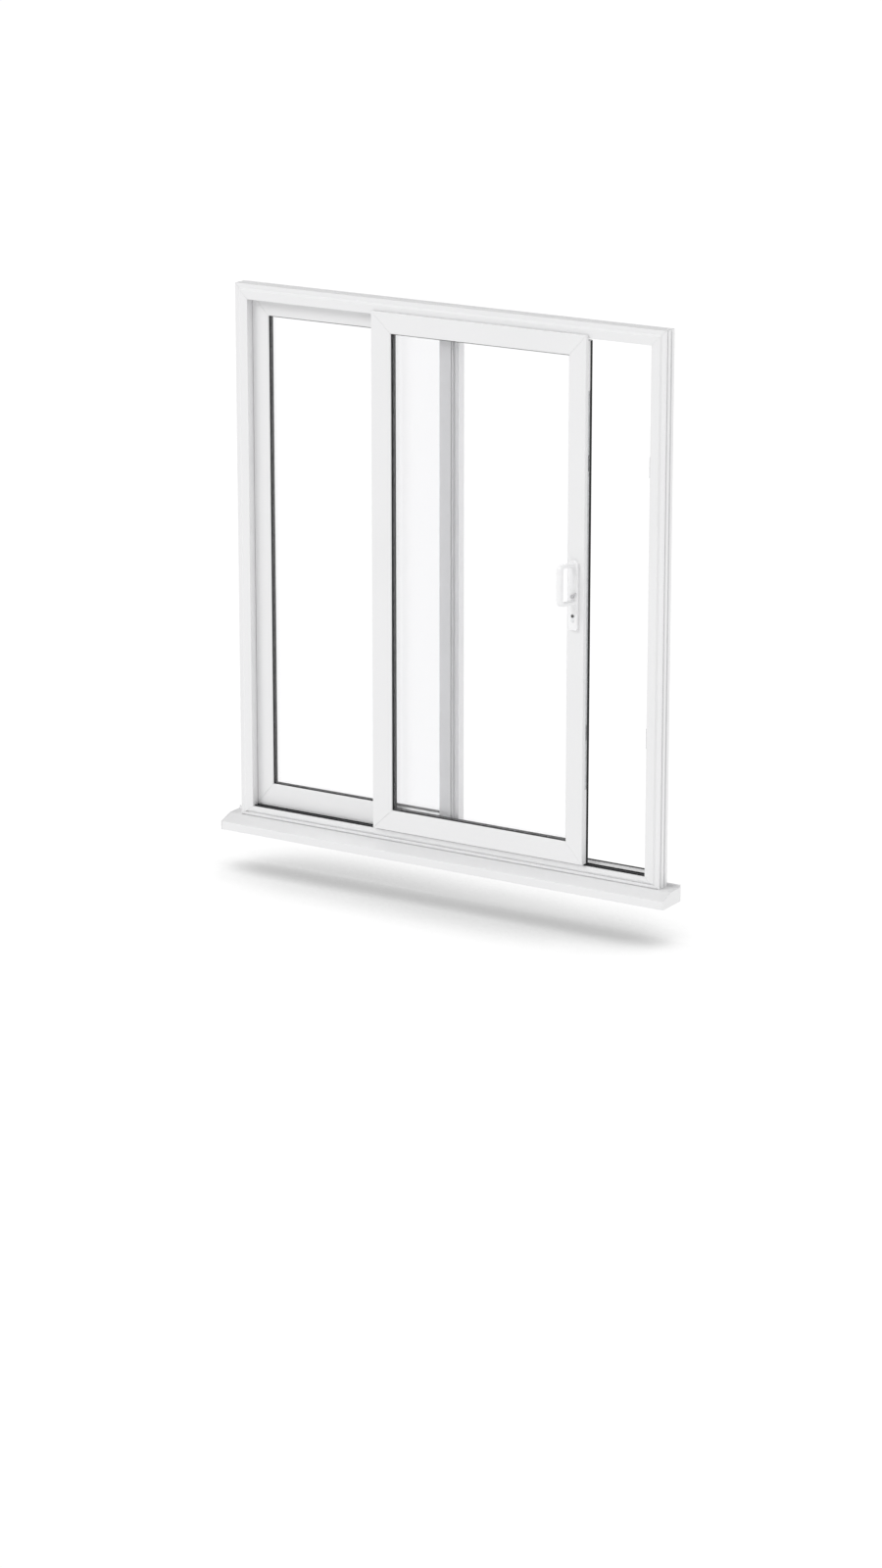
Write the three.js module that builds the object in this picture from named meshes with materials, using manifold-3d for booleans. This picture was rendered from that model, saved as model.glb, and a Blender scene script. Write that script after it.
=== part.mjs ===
// Two-pane sliding patio door in white PVC-U, on a projecting cill.
// Millimetres, +Z up. Pieces are placed in door coordinates: x = 0 is the middle of the frame,
// y = 0 is the proud front face of the frame (the cill side is -Y) and z = 0 is the frame's foot.
// The exported group moves that to the part's origin, the middle of the underside of the cill.
import * as THREE from 'three';
import { mergeVertices } from 'three/addons/utils/BufferGeometryUtils.js';
import Module from 'manifold-3d';

const wasm = await Module();
wasm.setup();

// ---------- driving dimensions ----------
const frameWidth = 1830;
const frameHeight = 2060;
const frameRear = 70;            // depth from the proud face to the back of the frame
const bandBack = 6;              // the outer band of the frame face is set back this far
const bandWidth = 17;
const bandChamfer = 7;
const jambFace = 57;             // sightline of jambs and head
const thresholdFace = 42;
const platformTop = 47;          // rear half of the threshold, under the fixed sash
const channelFront = 8;
const channelRear = 32;
const channelFloor = 22;

const cillNose = -56;
const cillRear = 76;
const cillDrop = 53;             // underside of the cill below the frame's foot
const cillNoseTop = -20;
const cillUpstand = 10;
const cillHorn = 50;
const endCapThickness = 3;
const dripFront = -50;           // drip groove under the nose
const dripWidth = 5;

const sashFront = -16;
const sashRear = 26;
const sashWidth = 908;
const sashLeft = -304;           // left edge at rest, with the door partly open
const openingTravel = 460;       // from rest to fully open
const sashBottom = 48;
const sashTop = 2016;
const sashBodyTop = 1995;        // behind the top lip, below the head
const lipBack = -1.5;            // back of the lip that overlaps the head
const sashStileLeft = 85;
const sashStileRight = 71;
const sashTopRail = 77;
const sashBottomRail = 81;

const fixedFront = 34;
const fixedLeft = -857.7;
const fixedRight = 46;
const fixedBottom = 47.5;
const fixedTop = 2015;
const fixedStileLeft = 71.5;
const fixedStileRight = 84;
const fixedTopRail = 72;
const fixedBottomRail = 86.5;

const rebateDepth = 14;          // how far the glazing pocket runs behind each sightline
const glassCover = 10;           // how far the glass runs behind the sightline
const paneThickness = 4;
const gasketShow = 1.5;
const interlockWall = 1.3;

const trackCentre = 15;          // y of the bottom rail and the head guide
const trackTop = 46;
const guideFront = 8;            // channel in the head that the sash's guide blocks run in
const guideRear = 22;
const guideDepth = 21;
const trackFin = 3;
const guideInset = 45;           // middle of a guide block from each end of the sash
const guideHalfLength = 20;
const guideHalfWidth = 4.5;
const wheelRadius = 13;
const wheelFlange = 16;
const wheelWidth = 10;
const wheelInset = 144;          // wheel centre from each end of the sash

const handleX = 562;             // centre of the backplates, spindle and cylinder at rest
const plateBottom = 933;
const plateTop = 1191;
const plateWidth = 38;
const plateThickness = 10;
const cylinderZ = 987;
const spindleZ = 1060;
const gripBottom = 1029;
const gripTop = 1185;
const gripReach = 62;
const gripOffset = 26;           // how far the grip leans towards the glass
const gripWidth = 22;
const gripBar = 15;
const gripFoot = 16;             // height of the grip's arms, kept clear of the thumb lever
const screwHeights = { lower: 947, upper: 1152 };

const lockY = 7;                 // y of the faceplate, the hooks and the keeps
const faceplateBottom = 332;
const faceplateTop = 1813;
const hookHeights = { lower: 560, upper: 1560 };
const hookPivotInset = 18;       // pivot behind the edge of the closing stile
const hookBelow = 41;            // the slot in the closing edge runs this far below the pivot
const hookAbove = 19;
const hookThickness = 4;
const hookSlotHalf = 2.7;
const hookPinRadius = 2.6;
const pocketDepth = 24;          // room for the hook's nose in the right jamb
const pocketHalf = 3.5;
const caseRoom = { x0: 548, y0: 2, y1: 12, z0: 958, z1: 1132 };
const stripHalf = 6;             // half the width of the faceplate and of the keeps
const stripThickness = 2.4;

const sashRight = sashLeft + sashWidth;
const halfWidth = frameWidth / 2;
const jambInner = halfWidth - jambFace;
const headSoffit = frameHeight - jambFace;
const weldGap = 0.15;            // half the gap left at each mitred corner
const SMALL = 0.3;               // clearance between pieces that touch on the real door

// ---------- materials ----------
function finish(color, roughness, metalness = 0, opacity = 1) {
  return new THREE.MeshStandardMaterial({ color, roughness, metalness, opacity, transparent: opacity < 1 });
}
const whitePvc = finish(0xf1f2f3, 0.35);
const capPvc = finish(0xe9eaec, 0.45);
const blackRubber = finish(0x1a1a1b, 0.8);
const glassFinish = finish(0xdfe8ea, 0.05, 0, 0.3);
const spacerFinish = finish(0x232426, 0.6);
const darkAluminium = finish(0x3a3b3d, 0.4, 0.9);
const greyAluminium = finish(0xb9bcc0, 0.4, 0.8);
const steelFinish = finish(0x9a9da1, 0.35, 1);
const chromeFinish = finish(0xc9ccd0, 0.15, 1);
const nylonFinish = finish(0xd8d8d4, 0.55);
const whiteHandle = finish(0xf4f4f5, 0.3);

// ---------- building helpers ----------
const door = new THREE.Group();

function add(name, geometry, material, x = 0, y = 0, z = 0) {
  const mesh = new THREE.Mesh(geometry, material);
  mesh.name = name;
  mesh.position.set(x, y, z);
  door.add(mesh);
  return mesh;
}

function outline(points) {
  return new THREE.Shape(points.map(([a, b]) => new THREE.Vector2(a, b)));
}

// A profile of (y, z) points swept along X.
function sweepX(profile, x0, x1) {
  const geometry = new THREE.ExtrudeGeometry(outline(profile), { depth: x1 - x0, bevelEnabled: false });
  const axes = new THREE.Matrix4().makeBasis(
    new THREE.Vector3(0, 1, 0),
    new THREE.Vector3(0, 0, 1),
    new THREE.Vector3(1, 0, 0),
  );
  return geometry.applyMatrix4(axes).translate(x0, 0, 0);
}

// A profile of (x, y) points swept along Z.
function sweepZ(profile, z0, z1) {
  const geometry = new THREE.ExtrudeGeometry(outline(profile), { depth: z1 - z0, bevelEnabled: false });
  return geometry.translate(0, 0, z0);
}

// A shape in (x, z) swept along Y, from y0 to y1.
function sweepY(shape, y0, y1, bevel = 0) {
  const geometry = new THREE.ExtrudeGeometry(shape, {
    depth: y1 - y0 - 2 * bevel,
    bevelEnabled: bevel > 0,
    bevelSize: bevel,
    bevelOffset: -bevel,
    bevelThickness: bevel,
    bevelSegments: 2,
    curveSegments: 10,
  });
  return geometry.rotateX(Math.PI / 2).translate(0, y1 - bevel, 0);
}

function box(x0, x1, y0, y1, z0, z1) {
  const geometry = new THREE.BoxGeometry(x1 - x0, y1 - y0, z1 - z0);
  return geometry.translate((x0 + x1) / 2, (y0 + y1) / 2, (z0 + z1) / 2);
}

// A cylinder lying along Y.
function pinY(radius, x, z, y0, y1, sides = 24) {
  const geometry = new THREE.CylinderGeometry(radius, radius, y1 - y0, sides);
  return geometry.translate(x, (y0 + y1) / 2, z);
}

function solid(geometry) {
  const bare = geometry.clone();
  bare.deleteAttribute('normal');
  bare.deleteAttribute('uv');
  const merged = mergeVertices(bare, 1e-3);
  return new wasm.Manifold(new wasm.Mesh({
    numProp: 3,
    vertProperties: new Float32Array(merged.attributes.position.array),
    triVerts: new Uint32Array(merged.index.array),
  }));
}

function backToGeometry(body) {
  const mesh = body.getMesh();
  const geometry = new THREE.BufferGeometry();
  geometry.setAttribute('position', new THREE.BufferAttribute(mesh.vertProperties, 3));
  geometry.setIndex(new THREE.BufferAttribute(mesh.triVerts, 1));
  geometry.computeVertexNormals();
  return geometry;
}

function cut(geometry, tools) {
  let body = solid(geometry);
  for (const tool of tools) {
    body = body.subtract(solid(tool));
  }
  return backToGeometry(body);
}

function join(parts) {
  let body = solid(parts[0]);
  for (const part of parts.slice(1)) {
    body = body.add(solid(part));
  }
  return backToGeometry(body);
}

// Moves the end vertices of a swept bar so that both ends become mitre faces.
function mitre(geometry, axis, low, high, insetLow, insetHigh) {
  const position = geometry.attributes.position;
  const point = new THREE.Vector3();
  for (let i = 0; i < position.count; i += 1) {
    point.fromBufferAttribute(position, i);
    const along = point[axis];
    if (Math.abs(along - low) < 1e-3) {
      point[axis] = low + insetLow(point) + weldGap;
    } else if (Math.abs(along - high) < 1e-3) {
      point[axis] = high - insetHigh(point) - weldGap;
    }
    position.setXYZ(i, point.x, point.y, point.z);
  }
  return geometry;
}

// Rectangular ring in the plane of the door, swept along Y.
function ring(outer, inner, y0, y1) {
  const [x0, x1, z0, z1] = outer;
  const [a0, a1, b0, b1] = inner;
  const shape = outline([[x0, z0], [x1, z0], [x1, z1], [x0, z1]]);
  shape.holes.push(new THREE.Path([[a0, b0], [a0, b1], [a1, b1], [a1, b0]].map(
    ([x, z]) => new THREE.Vector2(x, z),
  )));
  return sweepY(shape, y0, y1);
}

function grow([x0, x1, z0, z1], by) {
  return [x0 - by, x1 + by, z0 - by, z1 + by];
}

// ---------- cill ----------
function cillOutline(rim) {
  const noseRounding = { depth: 3, height: 2 };
  return [
    [cillNose - rim, -cillDrop], [dripFront, -cillDrop], [dripFront, dripWidth * 0.6 - cillDrop],
    [dripFront + dripWidth, dripWidth * 0.6 - cillDrop], [dripFront + dripWidth, -cillDrop],
    [cillRear, -cillDrop], [cillRear, cillUpstand + rim], [frameRear, cillUpstand + rim],
    [frameRear, rim], [bandBack, rim], [cillNose + noseRounding.depth, cillNoseTop + rim],
    [cillNose - rim, cillNoseTop - noseRounding.height + rim],
  ];
}

function makeCill() {
  const half = halfWidth + cillHorn;
  add('cill', sweepX(cillOutline(0), -half, half), whitePvc);
  add('cill_end_cap_left', sweepX(cillOutline(1), -half - endCapThickness, -half), capPvc);
  add('cill_end_cap_right', sweepX(cillOutline(1), half, half + endCapThickness), capPvc);
}

// ---------- outer frame ----------
// Profiles are (y, u) points: u is the distance in from the outer edge of the frame.
// The outer edge has three ribs with two grooves between them.
const rearStep = 1.5;            // the rearmost rib stands back from the outer edge
const groove = 6;                // depth of the two grooves round the outer edge
const outerRibs = [
  [frameRear, rearStep], [64, rearStep], [64, 0],
  [50, 0], [50, groove], [40, groove], [40, 0],
  [22, 0], [22, groove], [14, groove], [14, 0],
  [bandBack, 0],
];
const frontStep = [[bandBack, bandWidth], [0, bandWidth + bandChamfer]];
const fixedRebate = 43;          // the head is cut back to here above the fixed sash

const headProfile = [
  ...outerRibs, ...frontStep, [0, jambFace], [guideFront, jambFace], [guideFront, jambFace - guideDepth],
  [guideRear, jambFace - guideDepth], [guideRear, jambFace], [33, jambFace], [33, fixedRebate],
  [frameRear, fixedRebate],
];
const jambProfile = [...outerRibs, ...frontStep, [0, jambFace], [frameRear, jambFace]];
const bandGroove = { height: 3, depth: 4 };      // under the proud face of the threshold
const footGap = { height: 3.5, depth: 5 };       // shadow gap between the threshold and the cill
const grooveBottom = bandWidth - bandGroove.height;
const thresholdProfile = [
  [frameRear, 0], [bandBack + footGap.depth, 0], [bandBack + footGap.depth, footGap.height],
  [bandBack, footGap.height], [bandBack, grooveBottom],
  [bandBack + bandGroove.depth, grooveBottom], [bandBack + bandGroove.depth, bandWidth],
  ...frontStep, [0, thresholdFace], [channelFront, thresholdFace],
  [channelFront, channelFloor], [channelRear, channelFloor], [channelRear, thresholdFace],
  [channelRear, platformTop], [frameRear, platformTop], [frameRear, thresholdFace],
];

// A box centred on the line of the lock, for the slots that the hooks pass through.
function lockSlot(x0, x1, halfThickness, z0, z1) {
  return box(x0, x1, lockY - halfThickness, lockY + halfThickness, z0, z1);
}

function makeOuterFrame() {
  const head = sweepX(headProfile.map(([y, u]) => [y, frameHeight - u]), -halfWidth, halfWidth);
  const headInset = (p) => frameHeight - p.z;
  add('head', mitre(head, 'x', -halfWidth, halfWidth, headInset, headInset), whitePvc);

  const threshold = sweepX(thresholdProfile, -halfWidth, halfWidth);
  const footInset = (p) => Math.min(jambFace, p.z * jambFace / thresholdFace);
  add('threshold', mitre(threshold, 'x', -halfWidth, halfWidth, footInset, footInset), whitePvc);

  for (const side of [-1, 1]) {
    const bar = sweepZ(jambProfile.map(([y, u]) => [side * (halfWidth - u), y]), 0, frameHeight);
    const fromEdge = (p) => halfWidth - Math.abs(p.x);
    mitre(bar, 'z', 0, frameHeight, (p) => fromEdge(p) * thresholdFace / jambFace, fromEdge);
    if (side < 0) {
      add('left_jamb', bar, whitePvc);
    } else {
      const pockets = Object.values(hookHeights).map((z) => (
        lockSlot(jambInner - 5, jambInner + pocketDepth, pocketHalf, z - 12, z + 20)
      ));
      add('right_jamb', cut(bar, pockets), whitePvc);
    }
  }
}

// ---------- tracks in the frame ----------
function makeTracks() {
  const end = jambInner - SMALL;
  const wall = 1.5;
  const front = channelFront + 0.1;
  const back = channelRear - 0.1;
  const floor = channelFloor + 0.1;
  const liner = [
    [front, floor], [back, floor], [back, platformTop - 0.5], [back - wall, platformTop - 0.5],
    [back - wall, floor + wall], [front + wall, floor + wall], [front + wall, thresholdFace - 0.5],
    [front, thresholdFace - 0.5],
  ];
  add('track_liner', sweepX(liner, -end, end), blackRubber);

  const half = trackFin / 2;
  const footHalf = 4.5;
  const footBottom = floor + wall + 0.1;
  const footTop = footBottom + 2.3;
  const rail = [
    [trackCentre - footHalf, footBottom], [trackCentre + footHalf, footBottom],
    [trackCentre + footHalf, footTop], [trackCentre + half, footTop], [trackCentre + half, trackTop],
    [trackCentre - half, trackTop], [trackCentre - half, footTop], [trackCentre - footHalf, footTop],
  ];
  add('bottom_track_rail', sweepX(rail, -end, end), darkAluminium);

  // U-shaped liner of the head channel, open at the bottom.
  const guideWall = 1.2;
  const guideTop = headSoffit + guideDepth - 0.1;
  const guideBottom = headSoffit + 0.5;
  const guide = [
    [guideFront + 0.1, guideBottom], [guideFront + 0.1, guideTop], [guideRear - 0.1, guideTop],
    [guideRear - 0.1, guideBottom], [guideRear - 0.1 - guideWall, guideBottom],
    [guideRear - 0.1 - guideWall, guideTop - guideWall], [guideFront + 0.1 + guideWall, guideTop - guideWall],
    [guideFront + 0.1 + guideWall, guideBottom],
  ];
  add('head_guide_rail', sweepX(guide, -end, end), greyAluminium);

  const seal = { depth: 3.5, height: 4 };
  const sealBack = frameRear - 0.5;
  add('threshold_rear_seal', box(
    fixedRight + 1, end, sealBack - seal.depth, sealBack, platformTop, platformTop + seal.height,
  ), blackRubber);
  // The left guide block meets this stop just past the end of the opening travel.
  const stopFace = sashLeft + guideInset - guideHalfLength - openingTravel - SMALL;
  add('travel_stop', box(
    stopFace - 20, stopFace, trackCentre - guideHalfWidth, trackCentre + guideHalfWidth,
    headSoffit + 3, guideTop - guideWall - 0.1,
  ), blackRubber);
}

// ---------- sash members, shared by both sashes ----------
// (y, u) profile of a plain stile: bevelled face, glazing pocket behind the sightline.
function stileProfile(front, rear, lipThickness, width) {
  return [
    [front + 2, 0], [rear, 0], [rear, width - rebateDepth], [front + lipThickness, width - rebateDepth],
    [front + lipThickness, width], [front + 3, width], [front, width - 3], [front, 2],
  ];
}

function stile(profile, side, edge, z0, z1, width, bottomRail, topRail) {
  const bar = sweepZ(profile.map(([y, u]) => [edge + side * u, y]), z0, z1);
  const across = (p) => Math.abs(p.x - edge) / width;
  return mitre(bar, 'z', z0, z1, (p) => across(p) * bottomRail, (p) => across(p) * topRail);
}

function rail(profile, side, edge, x0, x1, height, leftStile, rightStile) {
  const bar = sweepX(profile.map(([y, u]) => [y, edge + side * u]), x0, x1);
  const across = (p) => Math.abs(p.z - edge) / height;
  return mitre(bar, 'x', x0, x1, (p) => across(p) * leftStile, (p) => across(p) * rightStile);
}

// Glass unit, spacer, gaskets and beads in one sash.
function glaze(prefix, opening, paneFront, cavity, sashBack, gasketFront) {
  const hidden = grow(opening, glassCover);
  const show = grow(opening, -gasketShow);
  const seat = grow(opening, -0.1);
  const pane = (y0) => sweepY(outline([
    [hidden[0], hidden[2]], [hidden[1], hidden[2]], [hidden[1], hidden[3]], [hidden[0], hidden[3]],
  ]), y0, y0 + paneThickness);
  const spacerFront = paneFront + paneThickness;
  const rearPane = spacerFront + cavity;
  const rearFace = rearPane + paneThickness;
  add(`${prefix}_glass_front`, pane(paneFront), glassFinish);
  add(`${prefix}_glass_rear`, pane(rearPane), glassFinish);
  add(`${prefix}_spacer_bar`, ring(hidden, show, spacerFront + 0.05, rearPane - 0.05), spacerFinish);
  add(`${prefix}_front_gasket`, ring(seat, show, gasketFront, paneFront - 0.2), blackRubber);
  const beadOuter = grow(opening, rebateDepth - SMALL);
  add(`${prefix}_glazing_beads`, ring(beadOuter, grow(opening, 0.5), rearFace + 0.4, sashBack), capPvc);
  add(`${prefix}_rear_gasket`, ring(grow(opening, 0.3), show, rearFace + 0.2, sashBack - 2), blackRubber);
}

// ---------- fixed sash ----------
function makeFixedSash() {
  const lip = 7;
  const profile = (width) => stileProfile(fixedFront, frameRear, lip, width);
  const upright = (side, edge, width) => stile(
    profile(width), side, edge, fixedBottom, fixedTop, width, fixedBottomRail, fixedTopRail,
  );
  const level = (side, edge, height) => rail(
    profile(height), side, edge, fixedLeft, fixedRight, height, fixedStileLeft, fixedStileRight,
  );
  add('fixed_jamb_stile', upright(1, fixedLeft, fixedStileLeft), whitePvc);
  add('fixed_meeting_stile', upright(-1, fixedRight, fixedStileRight), whitePvc);
  add('fixed_top_rail', level(-1, fixedTop, fixedTopRail), whitePvc);
  add('fixed_bottom_rail', level(1, fixedBottom, fixedBottomRail), whitePvc);

  const opening = [
    fixedLeft + fixedStileLeft, fixedRight - fixedStileRight,
    fixedBottom + fixedBottomRail, fixedTop - fixedTopRail,
  ];
  glaze('fixed', opening, fixedFront + 9, 13, frameRear, fixedFront + 2);

  const baseBack = fixedFront - 0.1;
  const baseFront = baseBack - 1.5;
  const leg = 12;                // the hooked leg stands forward of the base here
  const hookBack = 29.2;
  const hookFront = hookBack - interlockWall;
  const hook = [
    [-37, baseBack], [-37, baseFront], [leg, baseFront], [leg, hookBack], [leg - 9, hookBack],
    [leg - 9, hookFront], [leg + 1.5, hookFront], [leg + 1.5, baseFront],
    [fixedRight - 1, baseFront], [fixedRight - 1, baseBack],
  ];
  add('fixed_interlock', sweepZ(hook, fixedBottom + 8, fixedTop - 32), greyAluminium);
  const brush = { x0: 22, x1: 28, front: 27 };
  add('interlock_brush', box(
    brush.x0, brush.x1, brush.front, baseFront - 0.1, fixedBottom + 10, fixedTop - 34,
  ), nylonFinish);
}

// ---------- sliding sash ----------
const slidingOpening = [
  sashLeft + sashStileLeft, sashRight - sashStileRight, sashBottom + sashBottomRail, sashTop - sashTopRail,
];

function roundedPlate(width, bottom, top, radius) {
  const half = width / 2;
  const shape = new THREE.Shape();
  shape.moveTo(-half + radius, bottom);
  shape.lineTo(half - radius, bottom);
  shape.absarc(half - radius, bottom + radius, radius, -Math.PI / 2, 0, false);
  shape.lineTo(half, top - radius);
  shape.absarc(half - radius, top - radius, radius, 0, Math.PI / 2, false);
  shape.lineTo(-half + radius, top);
  shape.absarc(-half + radius, top - radius, radius, Math.PI / 2, Math.PI, false);
  shape.lineTo(-half, bottom + radius);
  shape.absarc(-half + radius, bottom + radius, radius, Math.PI, 1.5 * Math.PI, false);
  return shape;
}

// Outline of a profile cylinder: a round head with a narrow tail below it.
function cylinderOutline(extra) {
  const head = 8.5 + extra;
  const tail = 5 + extra;
  const tailEnd = cylinderZ - 19.5;
  const meet = Math.asin(tail / head);
  const shape = new THREE.Shape();
  shape.absarc(handleX, cylinderZ, head, -Math.PI / 2 + meet, 1.5 * Math.PI - meet, false);
  shape.absarc(handleX, tailEnd, tail, Math.PI, 2 * Math.PI, false);
  return shape;
}

// Slots and bores in the closing stile for the lock, the handles and the hooks.
function stileHardwareCuts() {
  const cuts = [
    lockSlot(
      sashRight - stripThickness - 0.2, sashRight + 5, stripHalf + 0.2,
      faceplateBottom - 0.2, faceplateTop + 0.2,
    ),
    box(caseRoom.x0, sashRight, caseRoom.y0, caseRoom.y1, caseRoom.z0, caseRoom.z1),
    pinY(7, handleX, spindleZ, sashFront - 5, sashRear + 5),
    sweepY(cylinderOutline(0.5), sashFront - 5, sashRear + 5),
    ...Object.values(screwHeights).map((z) => pinY(3, handleX, z, sashFront + 1, sashRear + 5)),
  ];
  for (const z of Object.values(hookHeights)) {
    const pivot = sashRight - hookPivotInset;
    cuts.push(lockSlot(pivot - 9, sashRight, hookSlotHalf, z - hookBelow, z + hookAbove));
    cuts.push(pinY(hookPinRadius + SMALL, pivot, z, lockY - 5.5, lockY + 5.5));
  }
  return cuts;
}

// Block on top of the sash with sloping ends and a rib that runs in the head channel.
function makeGuideBlock(place, x) {
  const foot = sashBodyTop + 0.1;
  const neck = foot + 4;
  const top = headSoffit + 15;
  const length = guideHalfLength;
  const shape = outline([
    [-length, foot], [length, foot], [length, top - 4], [length - 4, top], [4 - length, top],
    [-length, top - 4],
  ]);
  const block = sweepY(shape, trackCentre - guideHalfWidth, trackCentre + guideHalfWidth);
  const base = box(-length - 6, length + 6, trackCentre - 9, trackCentre + 9, foot, neck);
  add(`${place}_guide_block`, join([block, base]), nylonFinish, x);
}

function makeSlidingSash() {
  const lip = 8;
  const upright = (side, edge, width) => stile(
    stileProfile(sashFront, sashRear, lip, width), side, edge, sashBottom, sashTop, width,
    sashBottomRail, sashTopRail,
  );
  const topCuts = [
    box(sashLeft - 5, sashRight + 5, lipBack, sashRear + 5, sashBodyTop, sashTop + 5),
  ];
  add('sash_meeting_stile', cut(upright(1, sashLeft, sashStileLeft), topCuts), whitePvc);
  add('sash_closing_stile', cut(
    upright(-1, sashRight, sashStileRight), [...topCuts, ...stileHardwareCuts()],
  ), whitePvc);

  const step = sashTop - sashBodyTop;
  const topProfile = [
    [sashFront + 2, 0], [lipBack, 0], [lipBack, step], [sashRear, step],
    [sashRear, sashTopRail - rebateDepth], [sashFront + lip, sashTopRail - rebateDepth],
    [sashFront + lip, sashTopRail], [sashFront + 3, sashTopRail], [sashFront, sashTopRail - 3],
    [sashFront, 2],
  ];
  const grooveDepth = 42;
  const bottomProfile = [
    [sashFront + 2, 0], [trackCentre - 8.5, 0], [trackCentre - 8.5, grooveDepth],
    [trackCentre + 8.5, grooveDepth], [trackCentre + 8.5, 0], [sashRear, 0],
    [sashRear, sashBottomRail - rebateDepth], [sashFront + lip, sashBottomRail - rebateDepth],
    [sashFront + lip, sashBottomRail], [sashFront + 3, sashBottomRail], [sashFront, sashBottomRail - 3],
    [sashFront, 2],
  ];
  add('sash_top_rail', rail(
    topProfile, -1, sashTop, sashLeft, sashRight, sashTopRail, sashStileLeft, sashStileRight,
  ), whitePvc);
  add('sash_bottom_rail', rail(
    bottomProfile, 1, sashBottom, sashLeft, sashRight, sashBottomRail, sashStileLeft, sashStileRight,
  ), whitePvc);

  glaze('sash', slidingOpening, -6, 16, sashRear, sashFront + 2);

  const leg = sashLeft + 54;
  const baseFront = sashRear + 0.1;
  const baseBack = baseFront + 1.5;
  const hookBack = 31.5;
  const hookFront = hookBack - interlockWall;
  const hook = [
    [leg - 12, baseFront], [leg + 4, baseFront], [leg + 4, baseBack], [leg, baseBack],
    [leg, hookFront], [leg + 7, hookFront], [leg + 7, hookBack], [leg - 1.5, hookBack],
    [leg - 1.5, baseBack], [leg - 12, baseBack],
  ];
  add('sash_interlock', sweepZ(hook, sashBottom + 6, sashBodyTop - 4), greyAluminium);
  add('closing_seal', box(
    sashRight, sashRight + 3, sashRear - 12.5, sashRear - 0.5, sashBottom + 2, sashBodyTop - 2,
  ), blackRubber);
  makeGuideBlock('left', sashLeft + guideInset);
  makeGuideBlock('right', sashRight - guideInset);
}

// ---------- lock, on the closing edge ----------
function makeHookBolt(name, z) {
  const pivot = sashRight - hookPivotInset;
  // Drawn withdrawn: the arm hangs down from the pivot with its nose towards the edge.
  const shape = outline([
    [-6, 6], [0, 7], [6, 5], [6, -26], [14, -26], [14, -32], [11, -36], [-2, -36], [-6, -30],
  ]);
  const half = hookThickness / 2;
  const blade = sweepY(shape, lockY - half, lockY + half).translate(pivot, 0, z);
  add(name, join([blade, pinY(hookPinRadius, pivot, z, lockY - 5, lockY + 5, 20)]), steelFinish);
}

function makeKeep(name, z) {
  const plate = lockSlot(jambInner - 2, jambInner - 0.1, stripHalf, z - 34, z + 42);
  const slot = lockSlot(jambInner - 5, jambInner + 5, hookSlotHalf + SMALL, z - 11, z + hookAbove);
  add(name, cut(plate, [slot]), steelFinish);
}

function makeLock() {
  const slots = Object.values(hookHeights).map((z) => (
    lockSlot(sashRight - 10, sashRight + 5, hookSlotHalf, z - hookBelow, z + hookAbove)
  ));
  const strip = lockSlot(
    sashRight - stripThickness, sashRight, stripHalf, faceplateBottom, faceplateTop,
  );
  add('lock_faceplate', cut(strip, slots), steelFinish);

  const { x0, y0, y1, z0, z1 } = caseRoom;
  const lockCase = box(
    x0 + 0.4, sashRight - stripThickness - 0.4, y0 + SMALL, y1 - SMALL, z0 + 0.4, z1 - 0.4,
  );
  add('lock_case', cut(lockCase, [
    pinY(6.8, handleX, spindleZ, -10, 30),
    sweepY(cylinderOutline(0.5), -10, 30),
  ]), steelFinish);

  makeHookBolt('lower_hook_bolt', hookHeights.lower);
  makeHookBolt('upper_hook_bolt', hookHeights.upper);
  makeKeep('lower_keep', hookHeights.lower);
  makeKeep('upper_keep', hookHeights.upper);
}

// ---------- handles ----------
function makeBackplate(name, y0, y1, screwHoles) {
  const shape = roundedPlate(plateWidth, plateBottom, plateTop, 9);
  const plate = sweepY(shape, y0, y1, 2).translate(handleX, 0, 0);
  const holes = [
    pinY(6.6, handleX, spindleZ, y0 - 5, y1 + 5),
    sweepY(cylinderOutline(0.4), y0 - 5, y1 + 5),
  ];
  if (screwHoles) {
    holes.push(...Object.values(screwHeights).map((z) => pinY(2.9, handleX, z, y0 - 5, y1 + 5)));
  }
  add(name, cut(plate, holes), whiteHandle);
}

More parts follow.
